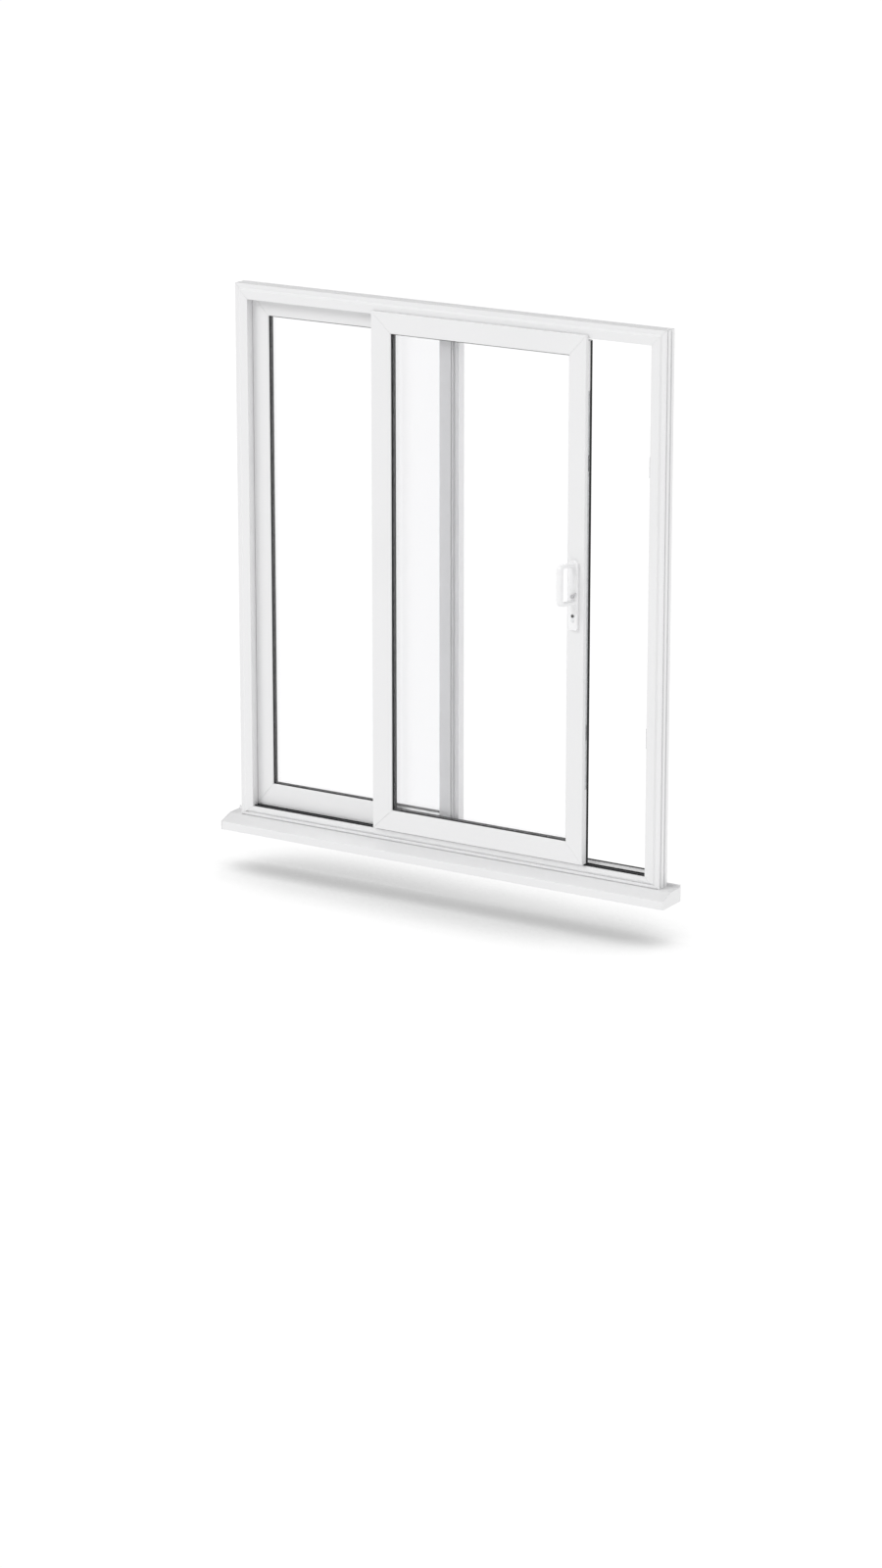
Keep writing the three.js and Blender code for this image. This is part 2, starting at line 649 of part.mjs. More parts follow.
// D-shaped grip standing off a backplate and leaning towards the glass.
function makeGrip(name, plateFace, direction) {
  const outerRadius = 16;
  const innerRadius = 8;
  const inner = gripReach - gripBar;
  const shape = new THREE.Shape();
  shape.moveTo(0, gripBottom);
  shape.lineTo(gripReach - outerRadius, gripBottom);
  shape.absarc(gripReach - outerRadius, gripBottom + outerRadius, outerRadius, -Math.PI / 2, 0, false);
  shape.lineTo(gripReach, gripTop - outerRadius);
  shape.absarc(gripReach - outerRadius, gripTop - outerRadius, outerRadius, 0, Math.PI / 2, false);
  shape.lineTo(0, gripTop);
  shape.lineTo(0, gripTop - gripFoot);
  shape.lineTo(inner - innerRadius, gripTop - gripFoot);
  shape.absarc(inner - innerRadius, gripTop - gripFoot - innerRadius, innerRadius, Math.PI / 2, 0, true);
  shape.lineTo(inner, gripBottom + gripFoot + innerRadius);
  shape.absarc(inner - innerRadius, gripBottom + gripFoot + innerRadius, innerRadius, 0, -Math.PI / 2, true);
  shape.lineTo(0, gripBottom + gripFoot);

  const bevel = 3;
  const geometry = new THREE.ExtrudeGeometry(shape, {
    depth: gripWidth - 2 * bevel,
    bevelEnabled: true,
    bevelSize: bevel,
    bevelOffset: -bevel,
    bevelThickness: bevel,
    bevelSegments: 2,
    curveSegments: 8,
  });
  // Shape x becomes the reach away from the plate, shape y becomes z and the sweep becomes x.
  const axes = new THREE.Matrix4().makeBasis(
    new THREE.Vector3(0, direction, 0),
    new THREE.Vector3(0, 0, 1),
    new THREE.Vector3(direction, 0, 0),
  );
  geometry.translate(0, 0, -gripWidth / 2 + bevel).applyMatrix4(axes);
  const position = geometry.attributes.position;
  for (let i = 0; i < position.count; i += 1) {
    const reach = Math.abs(position.getY(i));
    position.setX(i, position.getX(i) - gripOffset * reach / gripReach);
  }
  add(name, geometry.translate(handleX, plateFace, 0), whiteHandle);
}

function makeThumbLever(name, y0, y1) {
  const arm = roundedPlate(6, 0, 20, 2.9);
  const blade = sweepY(arm, y0, y1).rotateY(Math.PI / 4);
  const hub = pinY(7, 0, 0, y0, y1, 28);
  add(name, join([hub, blade]).translate(handleX, 0, spindleZ), steelFinish);
}

function makeHandles() {
  const frontFace = sashFront - plateThickness;
  const rearFace = sashRear + plateThickness;
  makeBackplate('front_backplate', frontFace, sashFront, false);
  makeBackplate('rear_backplate', sashRear, rearFace, true);
  makeGrip('front_grip', frontFace, -1);
  makeGrip('rear_grip', rearFace, 1);

  const lever = 8;
  makeThumbLever('front_thumb_lever', frontFace - SMALL - lever, frontFace - SMALL);
  makeThumbLever('rear_thumb_lever', rearFace + SMALL, rearFace + SMALL + lever);
  add('lock_spindle', box(
    handleX - 4, handleX + 4, frontFace - 0.3, rearFace + 0.3, spindleZ - 4, spindleZ + 4,
  ), steelFinish);

  const body = cylinderOutline(0);
  const plugHole = new THREE.Path();
  plugHole.absarc(handleX, cylinderZ, 6.2, 0, 2 * Math.PI, true);
  body.holes.push(plugHole);
  add('cylinder_body', sweepY(body, frontFace - 1, rearFace + 1), chromeFinish);
  const plug = pinY(5.9, handleX, cylinderZ, frontFace - 1.5, rearFace + 1.5, 28);
  const keyway = (y0, y1) => box(handleX - 0.8, handleX + 0.8, y0, y1, cylinderZ - 4.2, cylinderZ + 4.2);
  add('cylinder_plug', cut(plug, [
    keyway(frontFace - 5, frontFace + 8),
    keyway(rearFace - 8, rearFace + 5),
  ]), chromeFinish);

  for (const [place, z] of Object.entries(screwHeights)) {
    const shank = pinY(2.5, handleX, z, sashFront + 1.3, rearFace + 0.5, 16);
    const head = pinY(4.6, handleX, z, rearFace + 0.2, rearFace + 2.4, 20);
    const drive = box(handleX - 0.7, handleX + 0.7, rearFace + 1.2, rearFace + 5, z - 3.4, z + 3.4);
    add(`${place}_handle_screw`, cut(join([shank, head]), [drive]), steelFinish);
  }
}

// ---------- rollers in the bottom rail ----------
function makeRoller(place, x) {
  const centre = trackTop + wheelRadius + SMALL;
  const halfWheel = wheelWidth / 2;
  const treadHalf = trackFin / 2 + 0.4;
  const bore = 3.3;
  const profile = [
    [bore, -halfWheel], [wheelFlange, -halfWheel], [wheelFlange, -treadHalf - 0.6],
    [wheelRadius, -treadHalf], [wheelRadius, treadHalf], [wheelFlange, treadHalf + 0.6],
    [wheelFlange, halfWheel], [bore, halfWheel], [bore, -halfWheel],
  ].map(([r, t]) => new THREE.Vector2(r, t));
  const wheel = new THREE.LatheGeometry(profile, 32);
  add(`${place}_roller_wheel`, wheel, nylonFinish, x, trackCentre, centre);
  // Carriage with the wheel's axle fixed across it.
  const shell = box(x - 30, x + 30, trackCentre - 8, trackCentre + 8, sashBottom + 2, sashBottom + 34);
  const room = box(x - 19, x + 19, trackCentre - 6, trackCentre + 6, sashBottom - 5, sashBottom + 30);
  const axle = pinY(2.9, x, centre, trackCentre - 7, trackCentre + 7);
  add(`${place}_roller_carriage`, join([cut(shell, [room]), axle]), steelFinish);
}

makeCill();
makeOuterFrame();
makeTracks();
makeFixedSash();
makeSlidingSash();
makeLock();
makeHandles();
makeRoller('left', sashLeft + wheelInset);
makeRoller('right', sashRight - wheelInset);

// The grips reach equally far past the two backplates, so this puts the middle of the depth at y = 0.
const middleDepth = (sashFront + sashRear) / 2;
door.position.set(0, -middleDepth, cillDrop);
const part = new THREE.Group();
part.add(door);

export default part;
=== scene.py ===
"""Two-pane sliding patio door in white PVC-U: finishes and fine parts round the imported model.

Metres, +Z up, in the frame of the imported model. The cill side is -Y.
"""
import math

import bmesh
import bpy
from mathutils import Matrix, Vector


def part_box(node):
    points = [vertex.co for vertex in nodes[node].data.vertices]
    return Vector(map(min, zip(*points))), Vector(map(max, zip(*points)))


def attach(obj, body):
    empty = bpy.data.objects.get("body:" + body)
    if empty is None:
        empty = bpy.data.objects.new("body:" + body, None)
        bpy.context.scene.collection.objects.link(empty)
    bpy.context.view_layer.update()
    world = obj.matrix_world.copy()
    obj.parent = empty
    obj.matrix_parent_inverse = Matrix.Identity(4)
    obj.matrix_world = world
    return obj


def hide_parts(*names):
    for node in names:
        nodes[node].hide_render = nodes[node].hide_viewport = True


MM = 0.001

# ---------- camera, floor and light ----------
CAMERA_AZIMUTH = math.radians(31.7)
CAMERA_ELEVATION = math.radians(16.35)
CAMERA_DISTANCE = 17.231
CAMERA_TARGET = Vector((-0.0123, -0.005, 0.3137))
CAMERA_LENS = 106.3
SENSOR_WIDTH = 36.0
FLOOR_DROP = 0.150               # the door hangs this far above its painted soft shadow
FLOOR_HALF = 150.0
FLOOR_GLOW = 1.04                # a light-table floor, evenly white away from the door
SHADOW_REACH = 0.55              # how far round the door the painted contact shadow spreads
SHADOW_OPENNESS = (0.50, 0.92)   # how open the floor is to the sky: darkest and lightest
SHADOW_DARKEST = 0.38            # share of the glow that is left there
SHADOW_SAMPLES = 16
HORIZON_LIGHT = 0.75
ZENITH_LIGHT = 0.58
HORIZON_TOP = 0.30               # sine of the elevation where the zenith light is reached
SUNS = {                         # azimuth, elevation, strength and softness, angles in degrees
    "key_sun": (-35, 40, 1.18, 30),
    "rim_sun": (92, 22, 0.60, 30),
}

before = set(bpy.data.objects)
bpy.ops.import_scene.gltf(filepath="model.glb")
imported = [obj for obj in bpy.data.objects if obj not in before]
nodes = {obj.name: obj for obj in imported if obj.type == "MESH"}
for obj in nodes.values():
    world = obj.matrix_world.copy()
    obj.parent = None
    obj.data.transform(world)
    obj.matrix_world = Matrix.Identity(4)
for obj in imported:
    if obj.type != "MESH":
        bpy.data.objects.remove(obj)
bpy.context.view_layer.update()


# ---------- material helpers ----------
def make_material(name, color, roughness, metallic=0.0):
    material = bpy.data.materials.new(name)
    material.use_nodes = True
    shader = material.node_tree.nodes["Principled BSDF"]
    shader.inputs["Base Color"].default_value = (*color, 1.0)
    shader.inputs["Roughness"].default_value = roughness
    shader.inputs["Metallic"].default_value = metallic
    return material, material.node_tree, shader


def noise(tree, scale, detail=2.0, stretch=(1, 1, 1)):
    """A noise factor in the door's own space, drawn out along axes with a small stretch value."""
    coordinates = tree.nodes.new("ShaderNodeTexCoord")
    mapping = tree.nodes.new("ShaderNodeMapping")
    texture = tree.nodes.new("ShaderNodeTexNoise")
    mapping.inputs["Scale"].default_value = stretch
    texture.inputs["Scale"].default_value = scale
    texture.inputs["Detail"].default_value = detail
    tree.links.new(coordinates.outputs["Object"], mapping.inputs["Vector"])
    tree.links.new(mapping.outputs["Vector"], texture.inputs["Vector"])
    return texture.outputs["Fac"]


def drive_value(tree, factor, socket, low, high):
    """Spreads the middle of a noise factor, where most of it lies, over a range of values."""
    spread = tree.nodes.new("ShaderNodeMapRange")
    spread.inputs["From Min"].default_value = 0.3
    spread.inputs["From Max"].default_value = 0.7
    spread.inputs["To Min"].default_value = low
    spread.inputs["To Max"].default_value = high
    tree.links.new(factor, spread.inputs["Value"])
    tree.links.new(spread.outputs["Result"], socket)


def drive_color(tree, factor, socket, first, second):
    """Blends two colours over the middle of a noise factor."""
    ramp = tree.nodes.new("ShaderNodeValToRGB")
    low, high = ramp.color_ramp.elements
    low.position, low.color = 0.35, (*first, 1.0)
    high.position, high.color = 0.65, (*second, 1.0)
    tree.links.new(factor, ramp.inputs["Fac"])
    tree.links.new(ramp.outputs["Color"], socket)


def add_bump(tree, shader, coarse, fine, fine_share, strength, distance):
    """Bump from two factors, the second with its own share of the height."""
    scaled = tree.nodes.new("ShaderNodeMath")
    scaled.operation = "MULTIPLY_ADD"
    scaled.inputs[1].default_value = fine_share
    bump = tree.nodes.new("ShaderNodeBump")
    bump.inputs["Strength"].default_value = strength
    bump.inputs["Distance"].default_value = distance
    tree.links.new(fine, scaled.inputs[0])
    tree.links.new(coarse, scaled.inputs[2])
    tree.links.new(scaled.outputs["Value"], bump.inputs["Height"])
    tree.links.new(bump.outputs["Normal"], shader.inputs["Normal"])


def along(axis, share=0.02):
    """Stretch values that draw a noise out along one axis."""
    return tuple(share if name == axis else 1.0 for name in "xyz")


def shaded(color, share):
    return tuple(channel * share for channel in color)


# ---------- materials ----------
def pvc(name, color, axis):
    """Extruded white PVC-U: faint die lines along the bar, slight orange peel and soft gloss."""
    material, tree, shader = make_material(name, color, 0.34)
    shader.inputs["IOR"].default_value = 1.53
    cloud = noise(tree, 2.3)
    die_lines = noise(tree, 420, 2.0, along(axis))
    peel = noise(tree, 650, 2.0)
    drive_color(tree, cloud, shader.inputs["Base Color"], shaded(color, 0.985), color)
    gloss = noise(tree, 14, 3.0, along(axis, 0.2))
    drive_value(tree, gloss, shader.inputs["Roughness"], 0.30, 0.42)
    add_bump(tree, shader, die_lines, peel, 0.6, 0.25, 0.03 * MM)
    return material


def rubber(name, axis):
    """Black EPDM: near matt, with fine streaks along the extrusion and a touch of bloom."""
    dark = (0.012, 0.012, 0.013)
    material, tree, shader = make_material(name, dark, 0.7)
    bloom = noise(tree, 60, 3.0, along(axis, 0.15))
    drive_color(tree, bloom, shader.inputs["Base Color"], dark, (0.022, 0.022, 0.023))
    drive_value(tree, bloom, shader.inputs["Roughness"], 0.55, 0.8)
    streaks = noise(tree, 900, 2.0, along(axis))
    add_bump(tree, shader, streaks, noise(tree, 1500), 0.5, 0.4, 0.05 * MM)
    return material


def glass():
    """Clear float glass that passes lamp light straight through, with the slightest waviness."""
    material, tree, shader = make_material("clear_glass", (0.985, 0.985, 0.988), 0.02)
    shader.inputs["Transmission Weight"].default_value = 1.0
    shader.inputs["IOR"].default_value = 1.45
    drive_value(tree, noise(tree, 5, 4.0), shader.inputs["Roughness"], 0.0, 0.03)
    add_bump(tree, shader, noise(tree, 1.6, 1.0), noise(tree, 9, 1.0), 0.1, 0.05, 0.4 * MM)
    clear = tree.nodes.new("ShaderNodeBsdfTransparent")
    clear.inputs["Color"].default_value = (0.97, 0.97, 0.97, 1.0)
    path = tree.nodes.new("ShaderNodeLightPath")
    mix = tree.nodes.new("ShaderNodeMixShader")
    tree.links.new(path.outputs["Is Shadow Ray"], mix.inputs["Fac"])
    tree.links.new(shader.outputs["BSDF"], mix.inputs[1])
    tree.links.new(clear.outputs["BSDF"], mix.inputs[2])
    tree.links.new(mix.outputs["Shader"], tree.nodes["Material Output"].inputs["Surface"])
    return material


def metal(name, color, roughness, axis, variation=0.12, grain=700, metallic=1.0):
    """Extruded, rolled or plated metal with drawing lines along one axis and a faint mottle."""
    material, tree, shader = make_material(name, color, roughness[0], metallic)
    lines = noise(tree, grain, 3.0, along(axis, 0.03))
    mottle = noise(tree, 55, 4.0)
    drive_color(tree, mottle, shader.inputs["Base Color"], shaded(color, 1 - variation), color)
    drive_value(tree, lines, shader.inputs["Roughness"], *roughness)
    add_bump(tree, shader, lines, mottle, 0.2, 0.3, 0.03 * MM)
    return material


def moulded(name, color, roughness, peel_scale, depth):
    """Moulded or powder-coated surface: fine peel, small shifts of tone and gloss."""
    material, tree, shader = make_material(name, color, roughness[0])
    tone = noise(tree, 9, 3.0)
    drive_color(tree, tone, shader.inputs["Base Color"], shaded(color, 0.975), color)
    drive_value(tree, noise(tree, 45, 3.0), shader.inputs["Roughness"], *roughness)
    add_bump(tree, shader, noise(tree, peel_scale), noise(tree, peel_scale * 2.6), 0.5, 0.3, depth)
    return material


WHITE = (0.80, 0.80, 0.805)
GREY_ALUMINIUM = (0.56, 0.56, 0.57)
finish = {
    "white_pvc_x": pvc("white_pvc_x", WHITE, "x"),
    "white_pvc_z": pvc("white_pvc_z", WHITE, "z"),
    "trim_pvc": pvc("trim_pvc", WHITE, "z"),
    "rubber_x": rubber("black_rubber_x", "x"),
    "rubber_z": rubber("black_rubber_z", "z"),
    "glass": glass(),
    "spacer": moulded("spacer_plastic", (0.02, 0.02, 0.022), (0.45, 0.6), 500, 0.04 * MM),
    "dark_aluminium": metal("dark_aluminium", (0.09, 0.09, 0.095), (0.35, 0.5), "x"),
    "grey_aluminium_x": metal("grey_aluminium_x", GREY_ALUMINIUM, (0.28, 0.45), "x", 0.05),
    "grey_aluminium_z": metal("grey_aluminium_z", GREY_ALUMINIUM, (0.28, 0.45), "z", 0.03,
                              metallic=0.6),
    "plated_steel": metal("plated_steel", (0.58, 0.59, 0.60), (0.24, 0.4), "z", 0.18, 900),
    "lever_steel": metal("lever_steel", (0.62, 0.62, 0.63), (0.3, 0.42), "z", 0.1, 900, 0.6),
    # The plug is painted dark all over to stand in for the shade inside its keyhole.
    "cylinder_plug": metal("plug_painted_keyhole_shade", (0.10, 0.10, 0.10), (0.3, 0.45), "x", 0.2, 900),
    "pile": moulded("pile_nylon", (0.60, 0.60, 0.61), (0.8, 0.95), 1500, 0.1 * MM),
    "chrome": metal("polished_chrome", (0.76, 0.77, 0.78), (0.08, 0.16), "x", 0.04, 1200),
    "nylon": moulded("roller_nylon", (0.78, 0.78, 0.76), (0.42, 0.58), 700, 0.05 * MM),
    "handle": moulded("handle_white", (0.87, 0.87, 0.875), (0.26, 0.38), 900, 0.04 * MM),
}

# CAD nodes that no visual piece replaces: finish, edge rounding in mm, and the nodes.
CAD_FINISHES = [
    ("white_pvc_x", 0.9, ["cill", "head", "threshold", "fixed_top_rail", "fixed_bottom_rail",
                          "sash_top_rail", "sash_bottom_rail"]),
    ("white_pvc_z", 0.9, ["left_jamb", "right_jamb", "fixed_jamb_stile", "fixed_meeting_stile",
                          "sash_meeting_stile", "sash_closing_stile"]),
    ("trim_pvc", 0.8, ["cill_end_cap_left", "cill_end_cap_right"]),
    ("rubber_x", 0.4, ["track_liner", "threshold_rear_seal", "travel_stop"]),
    ("glass", 0.4, ["fixed_glass_front", "fixed_glass_rear",
                    "sash_glass_front", "sash_glass_rear"]),
    ("spacer", 0.0, ["fixed_spacer_bar", "sash_spacer_bar"]),
    ("dark_aluminium", 0.4, ["bottom_track_rail"]),
    ("grey_aluminium_x", 0.4, ["head_guide_rail"]),
    ("grey_aluminium_z", 0.3, ["fixed_interlock", "sash_interlock"]),
    ("plated_steel", 0.3, ["lower_keep", "upper_keep", "lock_faceplate", "lock_case",
                           "lock_spindle", "lower_hook_bolt", "upper_hook_bolt",
                           "lower_handle_screw", "upper_handle_screw",
                           "left_roller_carriage", "right_roller_carriage"]),
    ("chrome", 0.25, ["cylinder_body"]),
    ("cylinder_plug", 0.2, ["cylinder_plug"]),
    ("nylon", 0.5, ["left_roller_wheel", "right_roller_wheel", "left_guide_block",
                    "right_guide_block"]),
]


def round_edges(node, width):
    """Joins a CAD node's flat facets into faces and rounds its sharp edges, all by modifiers."""
    weld = node.modifiers.new("weld", "WELD")
    weld.merge_threshold = 0.01 * MM
    flat = node.modifiers.new("flat_faces", "DECIMATE")
    flat.decimate_type = "DISSOLVE"
    flat.angle_limit = math.radians(0.5)
    bevel = node.modifiers.new("edges", "BEVEL")
    bevel.width = width * MM
    bevel.segments = 2
    bevel.limit_method = "ANGLE"
    bevel.angle_limit = math.radians(28)
    bevel.harden_normals = True
    bevel.use_clamp_overlap = True


for finish_name, rounding, names in CAD_FINISHES:
    for name in names:
        node = nodes[name]
        node.data.materials.clear()
        node.data.materials.append(finish[finish_name])
        if rounding:
            round_edges(node, rounding)


# ---------- mesh helpers ----------
SHARP_ANGLE = 38                 # degrees between faces, from which an edge is shaded as sharp


def make_mesh(name, vertices, faces, sharp_angle=SHARP_ANGLE):
    mesh = bpy.data.meshes.new(name)
    mesh.from_pydata([tuple(v) for v in vertices], [], faces)
    shape = bmesh.new()
    shape.from_mesh(mesh)
    bmesh.ops.recalc_face_normals(shape, faces=shape.faces)
    shape.to_mesh(mesh)
    shape.free()
    mesh.shade_smooth()
    mesh.set_sharp_from_angle(angle=math.radians(sharp_angle))
    return mesh


def add_piece(name, mesh, finish_name, body, stands_for=()):
    piece = bpy.data.objects.new(name, mesh)
    bpy.context.scene.collection.objects.link(piece)
    mesh.materials.clear()
    mesh.materials.append(finish[finish_name])
    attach(piece, body)
    if stands_for:
        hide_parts(*stands_for)
    return piece


def arc(centre, radius, start, end, steps):
    """Points of an arc, angles in degrees."""
    points = []
    for i in range(steps + 1):
        angle = math.radians(start + (end - start) * i / steps)
        points.append((centre[0] + radius * math.cos(angle), centre[1] + radius * math.sin(angle)))
    return points


def join_rings(rings, closed=False, capped=True):
    """Vertices and faces of a skin over rings that have the same number of points."""
    count = len(rings[0])
    vertices = [point for ring in rings for point in ring]
    faces = []
    spans = len(rings) if closed else len(rings) - 1
    for r in range(spans):
        a, b = r * count, ((r + 1) % len(rings)) * count
        for i in range(count):
            j = (i + 1) % count
            faces.append((a + i, a + j, b + j, b + i))
    if capped and not closed:
        faces.append(tuple(range(count)))
        faces.append(tuple(range((len(rings) - 1) * count, len(rings) * count)))
    return vertices, faces


def append_skin(vertices, faces, rings):
    """Adds a capped skin over rings to a mesh that is being put together."""
    base = len(vertices)
    skin_vertices, skin_faces = join_rings(rings)
    vertices += skin_vertices
    faces += [tuple(base + i for i in face) for face in skin_faces]


def corner_points(box, inward):
    """Corners of a rectangle drawn inwards, anticlockwise from the bottom left."""
    low, high = box
    return [
        (low.x + inward, low.z + inward), (high.x - inward, low.z + inward),
        (high.x - inward, high.z - inward), (low.x + inward, high.z - inward),
    ]


def ring_at_corner(profile, box, corner, shift=(0, 0)):
    ring = []
    for inward, y in profile:
        x, z = corner_points(box, inward)[corner]
        ring.append((x + shift[0], y, z + shift[1]))
    return ring


def swept_ring(profile, box):
    """One endless strip round a rectangle: profile points are (distance inwards, y)."""
    return join_rings([ring_at_corner(profile, box, corner) for corner in range(4)], closed=True)


def mitred_bars(profile, box, gap):
    """Four bars round a rectangle that meet at mitred corners with a hairline gap."""
    vertices, faces = [], []
    directions = [(1, 0), (0, 1), (-1, 0), (0, -1)]
    for corner, (dx, dz) in enumerate(directions):
        start = ring_at_corner(profile, box, corner, (dx * gap, dz * gap))
        end = ring_at_corner(profile, box, (corner + 1) % 4, (-dx * gap, -dz * gap))
        append_skin(vertices, faces, [start, end])
    return vertices, faces


# ---------- gaskets and beads ----------
GASKET_LIP = 3.0 * MM            # how far the soft lip reaches on to the glass
GASKET_WALL = 1.4 * MM
GASKET_SINK = 2.6 * MM           # the strip starts this far behind the edge of the reveal
LIP_ROOT = 2.2 * MM              # the lip starts to curve out this far in front of the glass
LIP_EDGE = 0.35 * MM             # thickness of the lip's edge
BEAD_WIDTH = 13.2 * MM
BEAD_RADIUS = 5 * MM
BEAD_GAP = 0.12 * MM             # half the hairline at each mitre


def gasket_profile(away, glass_side):
    """Strip along the reveal with a rounded nose, and a lip that lies on the glass."""
    out = 1 if glass_side > away else -1
    nose = GASKET_WALL / 2
    front = away + out * GASKET_SINK
    points = [(0, glass_side), (0, front + out * nose)]
    points += [(x, front + out * (nose - y)) for x, y in arc((nose, 0), nose, 180, 0, 6)][1:]
    lip = arc((GASKET_LIP, 0), GASKET_LIP - GASKET_WALL, 180, 115, 5)
    points += [(x, glass_side - out * (LIP_ROOT - y)) for x, y in lip]
    points += [(GASKET_LIP, glass_side - out * LIP_EDGE), (GASKET_LIP - 0.2 * MM, glass_side)]
    return points


def bead_profile(front, back):
    """Clip-in bead with a rounded inner edge and a small shadow line at its outer edge."""
    radius = min(BEAD_RADIUS, back - front - 1.4 * MM)
    round_edge = arc((BEAD_WIDTH - radius, back - radius), radius, 0, 90, 8)
    return [
        (0, front), (BEAD_WIDTH, front), *round_edge,
        (0.9 * MM, back), (0.3 * MM, back - 0.5 * MM), (0, back - 0.6 * MM),
    ]


def make_glazing_trim(prefix, body):
    """Both gaskets and the ring of beads of one sash, each in the place of its CAD node."""
    front = f"{prefix}_front_gasket"
    low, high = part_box(front)
    mesh = make_mesh(front, *swept_ring(gasket_profile(low.y, high.y), (low, high)))
    add_piece(f"{front}_lipped", mesh, "rubber_z", body, [front])

    rear = f"{prefix}_rear_gasket"
    low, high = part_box(rear)
    mesh = make_mesh(rear, *swept_ring(gasket_profile(high.y, low.y), (low, high)))
    add_piece(f"{rear}_lipped", mesh, "rubber_z", body, [rear])

    beads = f"{prefix}_glazing_beads"
    low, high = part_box(beads)
    mesh = make_mesh(beads, *mitred_bars(bead_profile(low.y, high.y), (low, high), BEAD_GAP))
    add_piece(f"{beads}_mitred", mesh, "trim_pvc", body, [beads])


# ---------- brush and closing seal ----------
def make_brush():
    """Pile strip: a thin backing and rows of tapered tufts with an uneven lean and length."""
    low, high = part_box("interlock_brush")
    backing = 1.0 * MM
    pitch = 3.0 * MM
    rows = 3
    side_gap, end_gap = 0.15 * MM, 0.1 * MM       # half the space between neighbouring tufts
    sway, unevenness = 0.4 * MM, 0.5 * MM
    tip_share = 0.45
    vertices, faces = [], []

    def add_tapered(x0, x1, z0, z1, y_back, y_tip, taper, lean):
        back = [(x0, y_back, z0), (x1, y_back, z0), (x1, y_back, z1), (x0, y_back, z1)]
        middle_x, middle_z = (x0 + x1) / 2, (z0 + z1) / 2
        tip = [
            (middle_x + lean + (x - middle_x) * taper, y_tip, middle_z + (z - middle_z) * taper)
            for x, _, z in back
        ]
        append_skin(vertices, faces, [back, tip])

    add_tapered(low.x, high.x, low.z, high.z, high.y, high.y - backing, 1.0, 0.0)
    row_width = (high.x - low.x) / rows
    count = int((high.z - low.z) / pitch)
    for i in range(count):
        for row in range(rows):
            x0 = low.x + row * row_width + side_gap
            z0 = low.z + i * pitch + end_gap
            lean = sway * math.sin(i * 2.4 + row * 1.7)
            shortening = unevenness * (0.5 + 0.5 * math.sin(i * 1.3 + row * 2.1))
            add_tapered(
                x0, x0 + row_width - 2 * side_gap, z0, z0 + pitch - 2 * end_gap,
                high.y - backing, low.y + shortening, tip_share, lean,
            )
    mesh = make_mesh("interlock_brush_pile", vertices, faces)
    add_piece("interlock_brush_pile", mesh, "pile", "outer_frame",
              ["interlock_brush"])


def bulb_profile(x, y0, y1, reach):
    """A flat foot with a rounded bulb standing off it, as (x, y) points."""
    middle = (y0 + y1) / 2
    half = (y1 - y0) / 2
    foot = 0.9 * MM
    bulb_share = 0.8             # width of the bulb against the foot
    steps = 10
    bulb = []
    for i in range(steps + 1):
        angle = math.pi * i / steps
        bulb.append((
            x + foot + (reach - foot) * math.sin(angle),
            middle - half * bulb_share * math.cos(angle),
        ))
    return [(x, y0), (x + foot, y0), *bulb, (x + foot, y1), (x, y1)]


def make_closing_seal():
    """Two bulbs side by side up the closing edge."""
    low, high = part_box("closing_seal")
    middle = (low.y + high.y) / 2
    reach = high.x - low.x
    half_gap = 0.1 * MM
    vertices, faces = [], []
    for y0, y1 in ((low.y, middle - half_gap), (middle + half_gap, high.y)):
        profile = bulb_profile(low.x, y0, y1, reach)
        append_skin(vertices, faces, [[(x, y, z) for x, y in profile] for z in (low.z, high.z)])
    mesh = make_mesh("closing_seal_bulbs", vertices, faces)
    add_piece("closing_seal_bulbs", mesh, "rubber_z", "sliding_sash",
              ["closing_seal"])


# ---------- handles ----------
GRIP_WIDTH = 22 * MM
GRIP_BAR = 15 * MM
GRIP_FOOT = 16 * MM
GRIP_OFFSET = 26 * MM            # lean towards the glass at full reach
GRIP_BEND = 12 * MM              # bend radius of the bar's centre line
GRIP_STUB = 4 * MM               # straight length of each arm next to the backplate
GRIP_ROOT = -1 * MM              # the arms start this far inside the backplate
GRIP_SQUARENESS = 3.0            # exponent of the bar's section: 2 would be an ellipse
PLATE_RADIUS = 9 * MM
PLATE_EDGE = 3 * MM
LEVER_ANGLE = 45                 # degrees from upright, towards the closing edge
LEVER_HUB = 6.9 * MM
LEVER_ROOT = 3.0 * MM            # half width of the arm at the hub
LEVER_TIP = 2.7 * MM
LEVER_LENGTH = 19.8 * MM
LEVER_EDGE = 1.4 * MM


def superellipse(half_width, half_height, exponent, count):
    """Points of a rounded section between an ellipse and a rectangle."""
    points = []
    for i in range(count):
        angle = 2 * math.pi * i / count
        c, s = math.cos(angle), math.sin(angle)
        points.append((
            half_width * math.copysign(abs(c) ** (2 / exponent), c),
            half_height * math.copysign(abs(s) ** (2 / exponent), s),
        ))
    return points


def grip_path(reach, bottom, top):
    """Centre line of the D as (reach, z, direction angle): out along one arm, up and back."""
    middle = reach - GRIP_BAR / 2
    low = bottom + GRIP_FOOT / 2
    high = top - GRIP_FOOT / 2
    path = [(GRIP_ROOT, low, 0), (GRIP_STUB, low, 0), (middle - GRIP_BEND, low, 0)]
    steps = 8
    for i in range(1, steps + 1):
        angle = math.radians(90 * i / steps)
        path.append((
            middle - GRIP_BEND + GRIP_BEND * math.sin(angle),
            low + GRIP_BEND - GRIP_BEND * math.cos(angle), math.degrees(angle),
        ))
    path.append((middle, (low + high) / 2, 90))
    for i in range(steps + 1):
        angle = math.radians(90 * i / steps)
        path.append((
            middle - GRIP_BEND + GRIP_BEND * math.cos(angle),
            high - GRIP_BEND + GRIP_BEND * math.sin(angle), 90 + math.degrees(angle),
        ))
    return path + [(GRIP_STUB, high, 180), (GRIP_ROOT, high, 180)]


